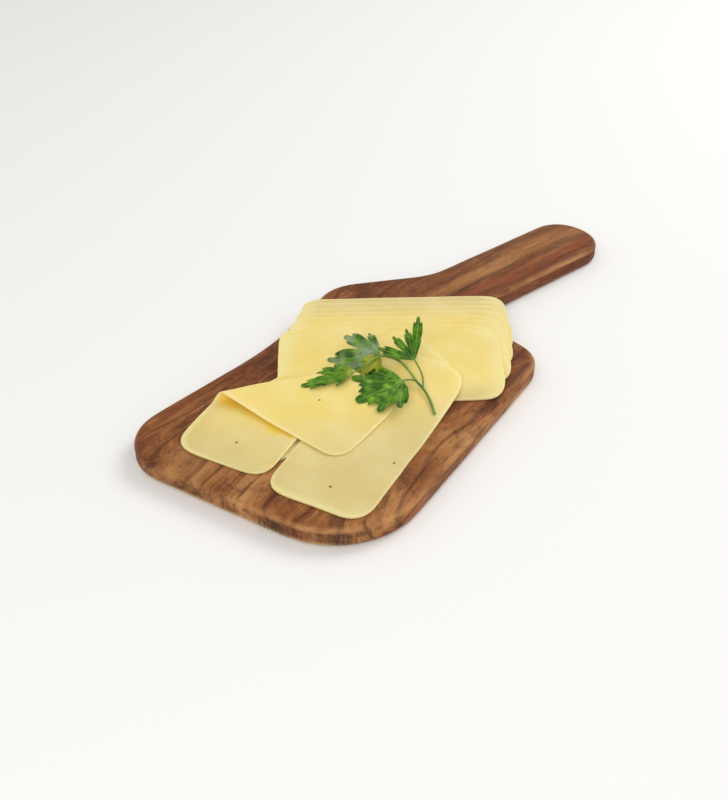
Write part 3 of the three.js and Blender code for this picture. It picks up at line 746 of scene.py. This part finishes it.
def leaf_reach(angle, lobes):
    """Distance from the leaf's base to its toothed edge in one direction, as a share of its length."""
    best = 0.2
    for centre, length, half in lobes:
        off = abs(angle - centre) / half
        reach = length * (1 - 0.5 * off ** 1.8)
        notch = math.exp(-((off % TOOTH_SPACING - 0.5 * TOOTH_SPACING) / NOTCH_WIDTH) ** 2)
        best = max(best, reach * (1 - NOTCH_DEPTH * notch) if off < 1.35 else 0)
    return best


def vein_strength(angle, radius, lobes):
    """How strongly a vein shows: one along each lobe, with a fainter one on either side of it."""
    strength = 0
    for centre, length, half in lobes:
        aside = radius * math.sin(math.radians(min(abs(angle - centre), 90)))
        strength = max(strength, math.exp(-(aside / MAIN_VEIN) ** 2) if radius < 0.95 * length else 0)
        for share in (-0.6, 0.6):
            branch = radius * math.sin(math.radians(min(abs(angle - centre - share * half), 90)))
            if 0.35 * length < radius < 0.9 * length:
                strength = max(strength, 0.6 * math.exp(-(branch / SIDE_VEIN) ** 2))
    return strength


def leaf_height(x, y, radius, off, lobe, droop, seed):
    """How far a leaf's surface stands off its plane, in shares of its length."""
    pucker = -0.06 * radius * math.cos(math.pi * min(abs(off), 1.4))
    curl = 0.28 * radius ** 2 * noise.noise(Vector((lobe * 0.11, seed, 2.0)))
    ripple = 0.05 * radius * noise.noise(Vector((x * 5, y * 5, seed)))
    return pucker + curl + ripple - droop * radius ** 2 + 0.16 * abs(y) ** 1.5


def make_leaf(node, material, cheese, base, axis, length,
              tilt=0.0, roll=0.0, droop=0.2, pale=0.0, young=0.0):
    """A toothed, puckered leaf from its base point outwards, its points lifted clear of the cheese."""
    lobes = LOBES[node]
    seed = LEAF_SEED_STEP * LEAVES.index(node)
    lowest = min(centre - 1.2 * half for centre, _, half in lobes)
    highest = max(centre + 1.2 * half for centre, _, half in lobes)
    pose = (Matrix.Translation(base) @ Matrix.Rotation(math.radians(TILT_AXIS), 4, "Z")
            @ Matrix.Rotation(math.radians(tilt), 4, "X") @ Matrix.Rotation(math.radians(axis), 4, "Z")
            @ Matrix.Rotation(math.radians(roll), 4, "X"))
    bm = bmesh.new()
    layers = {name: bm.verts.layers.float.new(name) for name in ("vein", "pale", "young")}
    grid = []
    for i in range(LEAF_ROWS):
        angle = lowest + (highest - lowest) * i / (LEAF_ROWS - 1)
        reach = leaf_reach(angle, lobes)
        nearest = min(lobes, key=lambda lobe: abs(angle - lobe[0]) / lobe[2])
        off = (angle - nearest[0]) / nearest[2]
        line = []
        for j in range(LEAF_COLUMNS):
            radius = reach * (0.03 + 0.97 * j / (LEAF_COLUMNS - 1))
            x = radius * math.cos(math.radians(angle))
            y = radius * math.sin(math.radians(angle))
            z = leaf_height(x, y, radius, off, nearest[0], droop, seed)
            place = pose @ (Vector((x, y, z)) * length)
            floor = cheese.ray_cast(Vector((place.x, place.y, 0.2)), Vector((0, 0, -1)))[0]
            if floor is not None:
                place.z = max(place.z, floor.z + LEAF_CLEARANCE)
            vertex = bm.verts.new(place)
            vertex[layers["vein"]] = vein_strength(angle, radius, lobes)
            vertex[layers["pale"]] = pale
            # Leaf 2 is painted yellow-green towards its base: partly its paler underside, partly painted glow
            # of light shining through the leaf.
            at_base = 0.7 * (1 - radius / 0.3) if node == "parsley_leaf_2" else 0
            vertex[layers["young"]] = max(young, at_base)
            line.append(vertex)
        grid.append(line)
    for first, second in zip(grid, grid[1:]):
        for j in range(LEAF_COLUMNS - 1):
            bm.faces.new((first[j], first[j + 1], second[j + 1], second[j]))
    piece = add_piece(f"{node}_fresh", bm, material, node)
    solid = piece.modifiers.new("thickness", "SOLIDIFY")
    solid.thickness = LEAF_THICKNESS
    solid.offset = 0
    apply_modifiers(piece)


def surface_of(pieces):
    """One search tree over the pieces' meshes, for finding what lies under a point."""
    bm = bmesh.new()
    for piece in pieces:
        bm.from_mesh(piece.data)
    tree = BVHTree.FromBMesh(bm)
    bm.free()
    return tree


def make_parsley(slices):
    under = surface_of(slices)
    leaf = leaf_material()
    left_end = stem_point(0.8, 23.8)
    right_end = stem_point(25.1, 33.3)
    near_end = stem_point(27.4, 11.5)
    low_end = left_end + Vector((-4, -28, 0)) * MM
    # Leaf 1 carries strong painted sheen as pale patches.
    make_leaf("parsley_leaf_1", leaf, under, left_end, 180, 40 * MM, tilt=17, roll=-6, pale=0.8)
    make_leaf("parsley_leaf_2", leaf, under, low_end, 198, 42 * MM, tilt=14, roll=10)
    make_leaf("parsley_leaf_3", leaf, under, right_end, 125, 34 * MM, tilt=46, droop=0.05)
    make_leaf("parsley_leaf_4", leaf, under, near_end, 210, 41 * MM, tilt=4, droop=0.1)
    make_leaf("parsley_leaf_5", leaf, under, left_end, 230, 24 * MM, tilt=8, young=0.9)
    middle = left_end.lerp(low_end, 0.5) + Vector((1, 1, 1)) * MM
    make_stem(stem_material(), [[left_end, middle, low_end]])


def main():
    add_camera()
    add_studio()
    cheese = cheese_material()
    slices = [soft_slice(node, cheese) for node in SLICES]
    make_board(wood_material())
    make_parsley(slices)


main()
